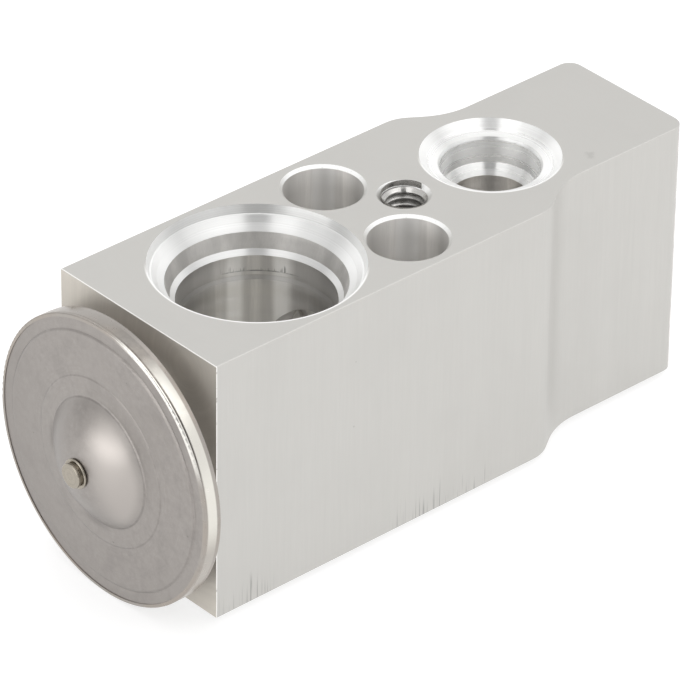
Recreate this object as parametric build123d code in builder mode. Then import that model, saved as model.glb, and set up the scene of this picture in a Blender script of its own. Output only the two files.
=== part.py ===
from build123d import *
import math
import os

# Block-type thermostatic expansion valve, in millimetres.
# The origin lies on the evaporator-side face, midway between the two mounting screw holes.
# +Z runs through the block to the pipe-side face. +X runs along the valve axis, from the diaphragm head
# at the wide end to the adjusting screw at the narrow end. Y = 0 is the plane of symmetry.

# Fits
running_clearance = 0.05
seating_gap = 0.05
valve_lift = 0.8

# Block
block_length = 84.8
block_width = 30.0
block_height = 38.0
shoulder_step = 4.0
tail_corner_radius = 2.0
head_end_to_screws = 38.1
screws_to_shoulder = 18.6
shoulder_angle = 34.0
shoulder_outer_radius = 5.5
shoulder_inner_radius = 11.0
edge_break = 0.1

# Suction passage, straight through the block, with the same stepped mouth on both faces
suction_to_screws = 18.4
suction_rim_radius = 14.05
suction_lip_radius = 13.6
suction_lip_depth = 1.1
suction_ledge_radius = 13.4
suction_ledge_depth = 1.2
suction_throat_radius = 12.7
suction_throat_depth = 1.95
suction_socket_mouth_radius = 11.75
suction_socket_mouth_depth = 2.75
suction_socket_foot_radius = 11.05
suction_socket_foot_depth = 4.85
suction_bore_radius = 10.4
suction_bore_depth = 5.5
suction_pilot_depth = 8.4
suction_through_radius = 10.2
suction_taper_end_depth = 9.0

# Liquid ports: the inlet on the pipe side, the outlet on the evaporator side
inlet_to_screws = 21.9
outlet_to_screws = 11.4
liquid_rim_radius = 9.35
liquid_cone_radius = 8.1
liquid_cone_depth = 1.2
liquid_ledge_radius = 6.88
liquid_ledge_depth = 1.4
liquid_throat_radius = 6.68
liquid_throat_depth = 1.75
liquid_socket_mouth_radius = 6.58
liquid_socket_mouth_depth = 2.5
liquid_socket_foot_radius = 6.2
liquid_socket_foot_depth = 4.85
liquid_bore_radius = 5.15
liquid_bore_depth = 6.3
inlet_floor_depth = 11.0
inlet_drill_radius = 2.4
outlet_step_depth = 13.0
outlet_upper_radius = 4.6
outlet_roof_above_axis = 3.0

# Mounting screw holes and the tapped hole that holds the pipe flange
screw_spacing = 16.2
screw_hole_radius = 3.3
screw_head_radius = 5.3
screw_head_depth = 10.0
hole_chamfer = 0.4
tapped_to_screws = 6.7
tapped_radius = 3.0
tapped_depth = 13.0
tapped_chamfer = 0.6
drill_tip_angle = 118.0

# Valve axis: stepped bores from the head end to the tail
head_thread_radius = 12.0
head_thread_depth = 7.8
head_passage_radius = 7.5
retainer_pocket_radius = 7.0
retainer_pocket_depth = 1.95
guide_bore_length = 7.35
orifice_radius = 1.6
seat_mouth_radius = 2.2
seat_wall_thickness = 3.4
chamber_radius = 6.5
chamber_length = 15.5
adjuster_thread_radius = 7.0
adjuster_pitch = 1.0
adjuster_turns = 1.0

# Diaphragm head
cover_thickness = 1.1
diaphragm_thickness = 0.15
head_overhang = 0.95
head_standoff = 3.6
weld_depth = 0.5
weld_proud = 0.1
weld_lip_radius = 0.2
weld_lip_width = 0.32
weld_groove_width = 0.28
weld_groove_depth = 0.16
weld_crown_height = 0.05
cover_base_gap = 0.9
cover_base_inset = 4.95
cover_wall_run = 1.4
cover_bend_radius = 0.9
cover_crease_radius = 0.12
cover_step_inset = 2.25
cover_step_height = 0.25
cover_ring_inset = 4.75
cover_slope_radius = 11.7
cover_slope_height = 0.1
cover_ridge_radius = 11.45
cover_ridge_height = 0.1
dome_radius = 8.8
dome_foot_height = 0.1
dome_foot_fillet = 1.0
dome_height = 3.75
charge_hole_radius = 1.3
plug_collar_radius = 2.05
plug_collar_thickness = 0.35
plug_groove_radius = 1.5
plug_groove_width = 0.22
plug_head_radius = 1.7
plug_head_thickness = 0.5
plug_edge_radius = 0.15
diaphragm_flat_margin = 0.2
diaphragm_wave_height = 0.15
diaphragm_wave_count = 3
neck_flange_radius = 14.6
neck_relief_radius = 11.0
neck_relief_width = 2.2
neck_end_gap = 0.4
neck_spigot_radius = 10.0
neck_chamfer = 0.45

# Moving train
stop_radius = 11.5
stop_hub_radius = 4.6
stop_hub_end = 1.5
stop_socket_depth = 3.5
stop_edge_radius = 0.4
sensing_rod_radius = 2.8
sensing_rod_chamfer = 0.3
sleeve_thickness = 1.3
sleeve_wall_gap = 1.4
sleeve_length = 16.0
push_rod_radius = 1.0
push_rod_socket_depth = 3.0
push_rod_tip_radius = 0.8
push_rod_taper = 0.7
ball_radius = 2.38
carrier_radius = 4.4
carrier_face_offset = 0.93
carrier_thickness = 1.8
carrier_spigot_radius = 2.6
carrier_spigot_length = 2.6
clip_thickness = 0.3
clip_washer_radius = 5.2
clip_wall_gap = 0.1
clip_leg_length = 5.0
clip_leg_count = 4
clip_leg_width = 2.6

# Seals and their retainer
head_seal_radius = 0.9
rod_seal_radius = 0.8
adjuster_seal_radius = 0.68
retainer_thickness = 0.4
retainer_hole_gap = 0.3
retainer_tooth_count = 8
retainer_slot_width = 1.6
retainer_slot_depth = 1.8

# Superheat spring and adjusting screw
spring_radius = 3.3
spring_wire_radius = 0.55
spring_turns = 6.0
screw_end_recess = 0.5
screw_front_land = 1.2
screw_groove_width = 1.7
screw_pocket_radius = 4.1
screw_web = 2.7
hex_across_flats = 8.0
hex_depth = 5.0
screw_chamfer = 0.5
travel_gap = 0.2

# Places along X
head_face = -head_end_to_screws
tail_face = head_face + block_length
suction_x = -suction_to_screws
axis_z = block_height / 2
suction_wall = suction_x + suction_through_radius
pocket_floor = suction_wall + retainer_pocket_depth
seal_floor = pocket_floor + 3 * rod_seal_radius
guide_end = seal_floor + guide_bore_length
outlet_wall = outlet_to_screws + outlet_upper_radius
chamber_start = outlet_wall + seat_wall_thickness
chamber_end = chamber_start + chamber_length
adjuster_travel = adjuster_pitch * adjuster_turns

# The tail is one step narrower than the block on each side, and the head reaches past the block all round
tail_width = block_width - 2 * shoulder_step
head_radius = block_height / 2 + head_overhang
cover_base_radius = head_radius - cover_base_inset
cover_step_radius = head_radius - cover_step_inset
cover_ring_radius = head_radius - cover_ring_inset

valve_axis = Axis((0, 0, axis_z), (1, 0, 0))
# Half sections of everything turned about the valve axis are drawn here as (x, radius).
turning_plane = Plane(origin=(0, 0, axis_z), x_dir=(1, 0, 0), z_dir=(0, -1, 0))


def mouth(origin, across, inward):
    """Plane of a hole's half section: local x is the radius and local y the depth below the mouth."""
    return Plane(origin=origin, x_dir=across, z_dir=Vector(*across).cross(Vector(*inward)))


def pipe_side(x, y=0):
    return mouth((x, y, block_height), (1, 0, 0), (0, 0, -1))


def evaporator_side(x, y=0):
    return mouth((x, y, 0), (1, 0, 0), (0, 0, 1))


head_end = mouth((head_face, 0, axis_z), (0, 0, 1), (1, 0, 0))
tail_end = mouth((tail_face, 0, axis_z), (0, 0, 1), (-1, 0, 0))

# Every hole in the block, as the corners (radius, depth) of its half section from the mouth to its floor
suction_mouth = [
    (suction_rim_radius, 0),
    (suction_lip_radius, suction_lip_depth),
    (suction_ledge_radius, suction_ledge_depth),
    (suction_throat_radius, suction_throat_depth),
    (suction_socket_mouth_radius, suction_socket_mouth_depth),
    (suction_socket_foot_radius, suction_socket_foot_depth),
    (suction_bore_radius, suction_bore_depth),
    (suction_bore_radius, suction_pilot_depth),
    (suction_through_radius, suction_taper_end_depth),
    (suction_through_radius, axis_z),
    (0, axis_z),
]
liquid_mouth = [
    (liquid_rim_radius, 0),
    (liquid_cone_radius, liquid_cone_depth),
    (liquid_ledge_radius, liquid_ledge_depth),
    (liquid_throat_radius, liquid_throat_depth),
    (liquid_socket_mouth_radius, liquid_socket_mouth_depth),
    (liquid_socket_foot_radius, liquid_socket_foot_depth),
    (liquid_bore_radius, liquid_bore_depth),
]
inlet_steps = liquid_mouth + [
    (liquid_bore_radius, inlet_floor_depth),
    (inlet_drill_radius, inlet_floor_depth),
    (inlet_drill_radius, axis_z - chamber_radius / 2),
    (0, axis_z - chamber_radius / 2),
]
outlet_steps = liquid_mouth + [
    (liquid_bore_radius, outlet_step_depth),
    (outlet_upper_radius, outlet_step_depth),
    (outlet_upper_radius, axis_z + outlet_roof_above_axis),
    (0, axis_z + outlet_roof_above_axis),
]
screw_steps = [
    (screw_head_radius + hole_chamfer, 0),
    (screw_head_radius, hole_chamfer),
    (screw_head_radius, screw_head_depth),
    (screw_hole_radius, screw_head_depth),
    (screw_hole_radius, block_height - hole_chamfer),
    (screw_hole_radius + hole_chamfer, block_height),
    (0, block_height),
]
tapped_steps = [
    (tapped_radius + tapped_chamfer, 0),
    (tapped_radius, tapped_chamfer),
    (tapped_radius, tapped_depth),
    (0, tapped_depth + tapped_radius / math.tan(math.radians(drill_tip_angle / 2))),
]
head_seat = neck_relief_radius + (2 + math.sqrt(2)) * head_seal_radius
rod_bore = sensing_rod_radius + running_clearance
seal_bore = rod_bore + 2 * rod_seal_radius
head_steps = [
    (head_seat, 0),
    (head_thread_radius, head_seat - head_thread_radius),
    (head_thread_radius, head_thread_depth),
    (head_passage_radius, head_thread_depth),
    (head_passage_radius, suction_x - head_face),
    (retainer_pocket_radius, suction_x - head_face),
    (retainer_pocket_radius, pocket_floor - head_face),
    (seal_bore, pocket_floor - head_face),
    (seal_bore, seal_floor - head_face),
    (rod_bore, seal_floor - head_face),
    (rod_bore, guide_end - head_face),
    (push_rod_radius + running_clearance, guide_end - head_face),
    (push_rod_radius + running_clearance, outlet_to_screws - head_face),
    (0, outlet_to_screws - head_face),
]
tail_steps = [
    (adjuster_thread_radius + hole_chamfer, 0),
    (adjuster_thread_radius, hole_chamfer),
    (adjuster_thread_radius, tail_face - chamber_end),
    (chamber_radius, tail_face - chamber_end),
    (chamber_radius, tail_face - chamber_start),
    (seat_mouth_radius, tail_face - chamber_start),
    (orifice_radius, tail_face - chamber_start + seat_mouth_radius - orifice_radius),
    (orifice_radius, tail_face - outlet_to_screws),
    (0, tail_face - outlet_to_screws),
]
holes = [
    (pipe_side(suction_x), suction_mouth),
    (evaporator_side(suction_x), suction_mouth),
    (pipe_side(inlet_to_screws), inlet_steps),
    (evaporator_side(outlet_to_screws), outlet_steps),
    (pipe_side(0, screw_spacing / 2), screw_steps),
    (pipe_side(0, -screw_spacing / 2), screw_steps),
    (pipe_side(tapped_to_screws), tapped_steps),
    (head_end, head_steps),
    (tail_end, tail_steps),
]

# Extruded aluminium block: the outline narrows in an S towards the tail
shoulder_run = shoulder_step / math.tan(math.radians(shoulder_angle))
with BuildPart() as valve_block:
    with BuildSketch() as outline:
        with BuildLine():
            outer_corner = (screws_to_shoulder, block_width / 2)
            inner_corner = (screws_to_shoulder + shoulder_run, tail_width / 2)
            flank = FilletPolyline(
                (head_face, block_width / 2),
                outer_corner,
                inner_corner,
                (tail_face, tail_width / 2),
                (tail_face, 0),
                radius=(shoulder_outer_radius, shoulder_inner_radius, tail_corner_radius),
            )
            Line((head_face, 0), (head_face, block_width / 2))
            mirror(about=Plane.XZ)
        make_face()
    extrude(amount=block_height)
    chamfer(valve_block.faces().filter_by(Axis.Z).edges(), length=edge_break)
    for plane, steps in holes:
        with BuildSketch(plane):
            with BuildLine():
                Polyline((0, 0), *steps, close=True)
            make_face()
        revolve(axis=Axis(plane.origin, plane.y_dir), mode=Mode.SUBTRACT)

# Threaded neck of the head: screwed into the block, its flange on the block's end face
neck_start = head_face - cover_base_gap - cover_thickness
neck_end = head_face + head_thread_depth - neck_end_gap
neck_thread_radius = head_thread_radius - running_clearance
with BuildPart() as threaded_neck:
    with BuildSketch(turning_plane):
        with BuildLine():
            Polyline(
                (neck_start, head_passage_radius),
                (neck_start, neck_spigot_radius),
                (head_face - cover_base_gap, neck_spigot_radius),
                (head_face - cover_base_gap, neck_flange_radius),
                (head_face, neck_flange_radius),
                (head_face, neck_relief_radius),
                (head_face + neck_relief_width, neck_relief_radius),
                (head_face + neck_relief_width + neck_chamfer, neck_thread_radius),
                (neck_end - neck_chamfer, neck_thread_radius),
                (neck_end, neck_thread_radius - neck_chamfer),
                (neck_end, head_passage_radius),
                close=True,
            )
        make_face()
    revolve(axis=valve_axis)

# Lower cover: a pressed dish, brazed on the neck and clamped with the upper cover at the rim
cover_rim = head_radius - weld_depth
half_sheet = cover_thickness / 2
lower_flange = head_face - head_standoff - half_sheet
lower_base = head_face - cover_base_gap - half_sheet
with BuildPart() as lower_cover:
    with BuildSketch(turning_plane):
        with BuildLine():
            FilletPolyline(
                (lower_flange, cover_rim),
                (lower_flange, cover_base_radius + cover_wall_run),
                (lower_base, cover_base_radius - half_sheet),
                (lower_base, neck_spigot_radius),
                radius=cover_bend_radius,
            )
        trace(line_width=cover_thickness)
    revolve(axis=valve_axis)

# Diaphragm: thin sheet, flat on the stop and at the rim, with rolled waves between
diaphragm_x = lower_flange - half_sheet - diaphragm_thickness / 2
wave_start = stop_radius + diaphragm_flat_margin
wave_end = cover_base_radius
wave_step = (wave_end - wave_start) / (2 * diaphragm_wave_count)
with BuildPart() as diaphragm:
    with BuildSketch(turning_plane):
        with BuildLine():
            Line((diaphragm_x, 0), (diaphragm_x, wave_start))
            for wave in range(2 * diaphragm_wave_count):
                foot = wave_start + wave * wave_step
                crest = diaphragm_x - diaphragm_wave_height * (-1) ** wave
                ThreePointArc(
                    (diaphragm_x, foot),
                    (crest, foot + wave_step / 2),
                    (diaphragm_x, foot + wave_step),
                )
            Line((diaphragm_x, wave_end), (diaphragm_x, cover_rim))
        trace(line_width=diaphragm_thickness)
    revolve(axis=valve_axis)

# Upper cover: flat ring with three pressed steps, and a dome with the charging hole
upper_flange = diaphragm_x - diaphragm_thickness / 2 - half_sheet
ring_x = upper_flange - cover_step_height
slope_x = ring_x - cover_slope_height
ridge_x = slope_x - cover_ridge_height
dome_foot_x = ridge_x - dome_foot_height
dome_apex_x = dome_foot_x - dome_height
dome_sphere = (dome_radius**2 + dome_height**2) / (2 * dome_height)


def dome_x(radius):
    """Place along X of the dome's middle surface at a radius."""
    return dome_apex_x + dome_sphere - math.sqrt(dome_sphere**2 - radius**2)


with BuildPart() as upper_cover:
    with BuildSketch(turning_plane):
        with BuildLine() as cover_line:
            FilletPolyline(
                (upper_flange, cover_rim),
                (upper_flange, cover_step_radius),
                (ring_x, cover_step_radius - cover_step_height),
                (ring_x, cover_ring_radius),
                (slope_x, cover_slope_radius),
                (ridge_x, cover_ridge_radius),
                (dome_foot_x, dome_radius),
                radius=cover_crease_radius,
            )
            ThreePointArc(
                (dome_foot_x, dome_radius),
                (dome_x(dome_radius / 2), dome_radius / 2),
                (dome_x(charge_hole_radius), charge_hole_radius),
            )
            dome_foot = cover_line.vertices().sort_by_distance((dome_foot_x, dome_radius))[0]
            fillet(dome_foot, radius=dome_foot_fillet)
        trace(line_width=cover_thickness)
    revolve(axis=valve_axis)

# Weld bead that joins the covers and the diaphragm all round the rim: narrow lip, groove and low crown
weld_back = head_face - head_standoff + weld_proud
weld_front = upper_flange - half_sheet - weld_proud
weld_groove_start = weld_front + weld_lip_width
weld_groove_end = weld_groove_start + weld_groove_width
weld_crown_foot = head_radius - weld_crown_height
with BuildPart() as rim_weld:
    with BuildSketch(turning_plane) as weld_section:
        with BuildLine():
            Polyline(
                (weld_back, weld_crown_foot),
                (weld_back, cover_rim),
                (weld_front, cover_rim),
                (weld_front, head_radius),
                (weld_groove_start, head_radius),
                ((weld_groove_start + weld_groove_end) / 2, head_radius - weld_groove_depth),
                (weld_groove_end, weld_crown_foot),
            )
            ThreePointArc(
                (weld_groove_end, weld_crown_foot),
                ((weld_groove_end + weld_back) / 2, head_radius),
                (weld_back, weld_crown_foot),
            )
        make_face()
        lip_corner = weld_section.vertices().group_by(Axis.X)[0].sort_by(Axis.Y)[-1]
        fillet(lip_corner, radius=weld_lip_radius)
    revolve(axis=valve_axis)

# Charge plug: a stepped rivet that closes the charging hole at the top of the dome
plug_seat = dome_x(charge_hole_radius) - half_sheet
plug_stem_end = plug_seat + cover_thickness
collar_front = plug_seat - plug_collar_thickness
groove_front = collar_front - plug_groove_width
plug_front = groove_front - plug_head_thickness
with BuildPart() as charge_plug:
    with BuildSketch(turning_plane) as plug_section:
        with BuildLine():
            Polyline(
                (plug_stem_end, 0),
                (plug_stem_end, charge_hole_radius - running_clearance),
                (plug_seat, charge_hole_radius - running_clearance),
                (plug_seat, plug_collar_radius),
                (collar_front, plug_collar_radius),
                (collar_front, plug_groove_radius),
                (groove_front, plug_groove_radius),
                (groove_front, plug_head_radius),
                (plug_front, plug_head_radius),
                (plug_front, 0),
                close=True,
            )
        make_face()
        rims = plug_section.vertices().group_by(Axis.Y)
        fillet(rims[-1] + rims[-2], radius=plug_edge_radius)
    revolve(axis=valve_axis)

# Seal ring between the neck and the block, in the seat at the thread's mouth
with BuildPart() as head_seal:
    with BuildSketch(turning_plane):
        with Locations((head_face + head_seal_radius, neck_relief_radius + head_seal_radius)):
            Circle(head_seal_radius)
    revolve(axis=valve_axis)

# Diaphragm stop: a plate under the diaphragm whose hub takes the sensing rod
stop_face = diaphragm_x + diaphragm_thickness / 2
cover_floor = lower_base - half_sheet
stop_back = cover_floor - valve_lift - travel_gap / 2
hub_end = head_face + stop_hub_end
rod_start = hub_end - stop_socket_depth
with BuildPart() as diaphragm_stop:
    with BuildSketch(turning_plane):
        with BuildLine():
            Polyline(
                (stop_face, 0),
                (stop_face, stop_radius - stop_edge_radius),
                (stop_face + stop_edge_radius, stop_radius),
                (stop_back, stop_radius),
                (stop_back, stop_hub_radius),
                (hub_end, stop_hub_radius),
                (hub_end, sensing_rod_radius),
                (rod_start, sensing_rod_radius),
                (rod_start, 0),
                close=True,
            )
        make_face()
    revolve(axis=valve_axis)

# Sensing rod: crosses the suction stream, and takes the push rod in a blind hole at its end
rod_end = guide_end - valve_lift - travel_gap
push_rod_start = rod_end - push_rod_socket_depth
with BuildPart() as sensing_rod:
    with BuildSketch(turning_plane):
        with BuildLine():
            Polyline(
                (rod_start, 0),
                (rod_start, sensing_rod_radius - sensing_rod_chamfer),
                (rod_start + sensing_rod_chamfer, sensing_rod_radius),
                (rod_end - sensing_rod_chamfer, sensing_rod_radius),
                (rod_end, sensing_rod_radius - sensing_rod_chamfer),
                (rod_end, push_rod_radius),
                (push_rod_start, push_rod_radius),
                (push_rod_start, 0),
                close=True,
            )
        make_face()
    revolve(axis=valve_axis)

# Plastic sleeve that slows the rod's response to the suction stream
sleeve_start = suction_x - suction_through_radius + sleeve_wall_gap
with BuildPart() as sensing_sleeve:
    with BuildSketch(turning_plane):
        with BuildLine():
            Polyline(
                (sleeve_start, sensing_rod_radius),
                (sleeve_start, sensing_rod_radius + sleeve_thickness),
                (sleeve_start + sleeve_length, sensing_rod_radius + sleeve_thickness),
                (sleeve_start + sleeve_length, sensing_rod_radius),
                close=True,
            )
        make_face()
    revolve(axis=valve_axis)
    chamfer(sensing_sleeve.edges().filter_by(GeomType.CIRCLE).group_by(SortBy.RADIUS)[-1], length=0.3)

# Seal ring round the sensing rod, in its bore in the block
with BuildPart() as rod_seal:
    with BuildSketch(turning_plane):
        with Locations((seal_floor - rod_seal_radius, rod_bore + rod_seal_radius)):
            Circle(rod_seal_radius)
    revolve(axis=valve_axis)

# Toothed spring washer pressed into its pocket to keep the rod's seal in place
with BuildPart() as seal_retainer:
    with BuildSketch(Plane(origin=(pocket_floor, 0, axis_z), x_dir=(0, 1, 0), z_dir=(-1, 0, 0))):
        Circle(retainer_pocket_radius - running_clearance)
        Circle(sensing_rod_radius + retainer_hole_gap, mode=Mode.SUBTRACT)
        with PolarLocations(retainer_pocket_radius - retainer_slot_depth / 2, retainer_tooth_count):
            Rectangle(retainer_slot_depth * 1.2, retainer_slot_width, mode=Mode.SUBTRACT)
    extrude(amount=retainer_thickness)

# Ball: just clear of its conical seat when the valve is shut
seat_apex = chamber_start - seat_mouth_radius
ball_x = seat_apex + (ball_radius + seating_gap) * math.sqrt(2)
with BuildPart() as valve_ball:
    with BuildSketch(turning_plane):
        with BuildLine():
            ThreePointArc((ball_x - ball_radius, 0), (ball_x, ball_radius), (ball_x + ball_radius, 0))
            Line((ball_x + ball_radius, 0), (ball_x - ball_radius, 0))
        make_face()
    revolve(axis=valve_axis)

# Push rod: slides in the wall below the sensing rod and goes through the orifice to the ball
push_rod_end = ball_x - ball_radius
taper_end = outlet_wall
with BuildPart() as push_rod:
    with BuildSketch(turning_plane):
        with BuildLine():
            Polyline(
                (push_rod_start, 0),
                (push_rod_start, push_rod_radius),
                (taper_end - push_rod_taper, push_rod_radius),
                (taper_end, push_rod_tip_radius),
                (push_rod_end, push_rod_tip_radius),
                (push_rod_end, 0),
                close=True,
            )
        make_face()
    revolve(axis=valve_axis)

# Ball carrier: a conical cup for the ball in front, and a spigot for the spring behind
carrier_front = ball_x + carrier_face_offset
carrier_back = carrier_front + carrier_thickness
cup_apex = ball_x + ball_radius * math.sqrt(2)
with BuildPart() as ball_carrier:
    with BuildSketch(turning_plane):
        with BuildLine():
            Polyline(
                (cup_apex, 0),
                (carrier_front, cup_apex - carrier_front),
                (carrier_front, carrier_radius),
                (carrier_back, carrier_radius),
                (carrier_back, carrier_spigot_radius),
                (carrier_back + carrier_spigot_length, carrier_spigot_radius),
                (carrier_back + carrier_spigot_length, 0),
                close=True,
            )
        make_face()
    revolve(axis=valve_axis)

# Damper clip: a washer with sprung legs that rub on the chamber wall
clip_front = carrier_back
clip_back = clip_front + clip_thickness
clip_radius = chamber_radius - clip_wall_gap
with BuildPart() as damper_clip:
    with BuildSketch(turning_plane):
        with BuildLine():
            Polyline(
                (clip_front, carrier_spigot_radius),
                (clip_front, clip_radius),
                (clip_front + clip_leg_length, clip_radius),
                (clip_front + clip_leg_length, clip_radius - clip_thickness),
                (clip_back, clip_radius - clip_thickness),
                (clip_back, carrier_spigot_radius),
                close=True,
            )
        make_face()
    revolve(axis=valve_axis)
    with BuildSketch(Plane(origin=(clip_front, 0, axis_z), x_dir=(0, 1, 0), z_dir=(1, 0, 0))):
        Circle(chamber_radius)
        Circle(clip_washer_radius, mode=Mode.SUBTRACT)
        with PolarLocations(clip_radius, clip_leg_count):
            Rectangle(clip_radius, clip_leg_width, mode=Mode.SUBTRACT)
    extrude(amount=clip_leg_length, mode=Mode.SUBTRACT)

# Adjusting screw: smooth nose with a seal groove, threaded body, spring pocket and key socket
screw_back = tail_face - adjuster_travel - screw_end_recess
thread_front = chamber_end + adjuster_travel + travel_gap
groove_back = chamber_end - adjuster_travel - travel_gap
groove_front_x = groove_back - screw_groove_width
screw_front = groove_front_x - screw_front_land
nose_radius = chamber_radius - running_clearance
groove_radius = chamber_radius - 2 * running_clearance - 2 * adjuster_seal_radius
body_radius = adjuster_thread_radius - running_clearance
pocket_end = screw_back - hex_depth - screw_web
with BuildPart() as adjusting_screw:
    with BuildSketch(turning_plane):
        with BuildLine():
            Polyline(
                (screw_front, screw_pocket_radius),
                (screw_front, nose_radius - screw_chamfer),
                (screw_front + screw_chamfer, nose_radius),
                (groove_front_x, nose_radius),
                (groove_front_x, groove_radius),
                (groove_back, groove_radius),
                (groove_back, nose_radius),
                (thread_front, nose_radius),
                (thread_front, body_radius - screw_chamfer / 2),
                (thread_front + screw_chamfer / 2, body_radius),
                (screw_back - screw_chamfer, body_radius),
                (screw_back, body_radius - screw_chamfer),
                (screw_back, 0),
                (pocket_end, 0),
                (pocket_end, screw_pocket_radius),
                close=True,
            )
        make_face()
    revolve(axis=valve_axis)
    with BuildSketch(Plane(origin=(screw_back, 0, axis_z), x_dir=(0, 1, 0), z_dir=(-1, 0, 0))):
        RegularPolygon(hex_across_flats / 2, side_count=6, major_radius=False)
    extrude(amount=hex_depth, mode=Mode.SUBTRACT)

# Seal ring in the screw's groove
adjuster_seal_x = (groove_front_x + groove_back) / 2
with BuildPart() as adjuster_seal:
    with BuildSketch(turning_plane):
        with Locations((adjuster_seal_x, chamber_radius - running_clearance - adjuster_seal_radius)):
            Circle(adjuster_seal_radius)
    revolve(axis=valve_axis)

# Superheat spring: a coil between the damper clip and the screw's pocket, with ends ground flat
spring_length = pocket_end - clip_back
spring_frame = Plane(origin=(clip_back, 0, axis_z), x_dir=(0, 0, 1), z_dir=(1, 0, 0))
spring_pitch = spring_length / spring_turns
with BuildPart() as superheat_spring:
    with BuildLine() as coil:
        Helix(
            pitch=spring_pitch,
            height=spring_length,
            radius=spring_radius,
            center=spring_frame.origin,
            direction=spring_frame.z_dir,
        )
    with BuildSketch(Plane(origin=coil.line @ 0, z_dir=coil.line % 0)):
        Circle(spring_wire_radius)
    sweep(is_frenet=True)
    split(bisect_by=Plane(origin=(clip_back, 0, axis_z), z_dir=(1, 0, 0)), keep=Keep.TOP)
    split(bisect_by=Plane(origin=(pocket_end, 0, axis_z), z_dir=(1, 0, 0)), keep=Keep.BOTTOM)

pieces = {
    "valve_block": valve_block,
    "threaded_neck": threaded_neck,
    "lower_cover": lower_cover,
    "diaphragm": diaphragm,
    "upper_cover": upper_cover,
    "rim_weld": rim_weld,
    "charge_plug": charge_plug,
    "head_seal": head_seal,
    "diaphragm_stop": diaphragm_stop,
    "sensing_rod": sensing_rod,
    "sensing_sleeve": sensing_sleeve,
    "rod_seal": rod_seal,
    "seal_retainer": seal_retainer,
    "push_rod": push_rod,
    "valve_ball": valve_ball,
    "ball_carrier": ball_carrier,
    "damper_clip": damper_clip,
    "superheat_spring": superheat_spring,
    "adjusting_screw": adjusting_screw,
    "adjuster_seal": adjuster_seal,
}
os.makedirs("parts", exist_ok=True)
for name, piece in pieces.items():
    piece.part.label = name
    export_step(piece.part, f"parts/{name}.step")
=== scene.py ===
import math

import bpy
from bpy.props import FloatProperty, FloatVectorProperty, IntProperty, PointerProperty
from bpy.types import Operator, Panel, PropertyGroup
from mathutils import Matrix, Vector


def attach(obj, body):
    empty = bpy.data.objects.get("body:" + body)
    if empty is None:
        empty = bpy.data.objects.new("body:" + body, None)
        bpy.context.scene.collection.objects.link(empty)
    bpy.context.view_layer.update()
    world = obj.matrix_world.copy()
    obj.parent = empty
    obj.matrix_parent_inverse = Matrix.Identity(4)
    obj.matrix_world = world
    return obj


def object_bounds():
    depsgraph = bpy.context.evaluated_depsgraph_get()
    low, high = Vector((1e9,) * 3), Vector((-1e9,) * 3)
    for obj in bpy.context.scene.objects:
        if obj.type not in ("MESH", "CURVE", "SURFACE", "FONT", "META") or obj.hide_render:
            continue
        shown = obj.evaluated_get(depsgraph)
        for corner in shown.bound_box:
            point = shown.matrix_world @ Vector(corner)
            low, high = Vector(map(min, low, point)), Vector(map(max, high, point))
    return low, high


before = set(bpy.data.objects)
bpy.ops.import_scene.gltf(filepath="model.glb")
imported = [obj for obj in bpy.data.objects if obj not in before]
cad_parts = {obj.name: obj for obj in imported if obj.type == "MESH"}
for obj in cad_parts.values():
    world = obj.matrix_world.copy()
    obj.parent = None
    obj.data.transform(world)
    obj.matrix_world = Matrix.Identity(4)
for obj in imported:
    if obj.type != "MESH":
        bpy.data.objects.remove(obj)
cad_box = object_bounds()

bl_info = {
    "name": "Expansion valve finish",
    "version": (1, 0, 0),
    "blender": (4, 5, 0),
    "location": "3D View > Sidebar > Valve",
    "description": "Dresses the packed expansion valve: metal finishes, threads, camera, floor and light",
    "category": "Object",
}

MM = 0.001

# Places of the features, in millimetres, as in the part's source
BLOCK_TOP = 38.0
AXIS_Z = 19.0
HEAD_FACE = -38.1
TAIL_FACE = 46.7
SUCTION_X = -18.4
INLET_X = 21.9
OUTLET_X = 11.4
TAPPED_X = 6.7
WELL_Y = 8.1
SUCTION_RIM = 14.05
INLET_RIM = 9.35
COUNTERSINK = 3.6
BEAD_FRONT = -44.15
BEAD_GROOVE = -43.69

# What parts the block's surfaces: depths below a port face and radii round a feature's axis, in millimetres
FACE_SKIN = 0.02
END_SKIN = 0.05
CHAMFER_DEPTH = 0.6
WELL_REACH = 5.75
TAPPED_REACH = 3.7
SUCTION_REACH = 14.3
SUCTION_SOCKET = (2.8, 4.8)
SUCTION_PORT_DEPTH = 5.52
SUCTION_PORT_INSIDE = 10.3
SUCTION_BORE = (9.9, 10.55)
LIQUID_REACH = 9.45
LIQUID_PORT_DEPTH = 6.4
LIQUID_BORE_DEPTH = 16.5
AXIS_REACH = 12.9
AXIS_HALF_WIDTH = 10.8
HEAD_SOCKET_END = -25.0

# How far a face's normal lies along an axis for the face to count as flat, or as a chamfer's slope
FLAT = 0.9
SLOPE = 0.5
UPRIGHT = 0.99

# Marks, in millimetres: a smudge on the port face, the heights of the tool's ticks and of the painted shade on
# the taper in the suction bore, and the stretches of the flank, along X, that were dragged over something, with
# their edge
SMUDGE = (31.6, -8.6, 38.0)
TICKS = (30.15, 30.8)
TAPER_SHADE = (29.0, 29.6)
DRAGGED = ((-37.8, -30.0, 2.0), (-7.0, 8.5, 1.5))

# The head's painted light and shade, in its own axes, which are down, the camera's left and along the valve:
# radius and strength of each crease's painted shade, place and inverse half-lengths of each spot of painted
# shade, and the side of the dome's painted highlight
CREASES = ((17.75, 0.22), (11.7, 0.3), (8.95, 0.4))
SHADE_SPOTS = (((0.8, 9.3, 0.0), (0.3, 1.1, 0.0)), ((9.3, 0.8, 0.0), (1.1, 0.26, 0.0)))
DOME_HIGHLIGHT_SIDE = (-0.25, -0.97, 0.0)
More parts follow.
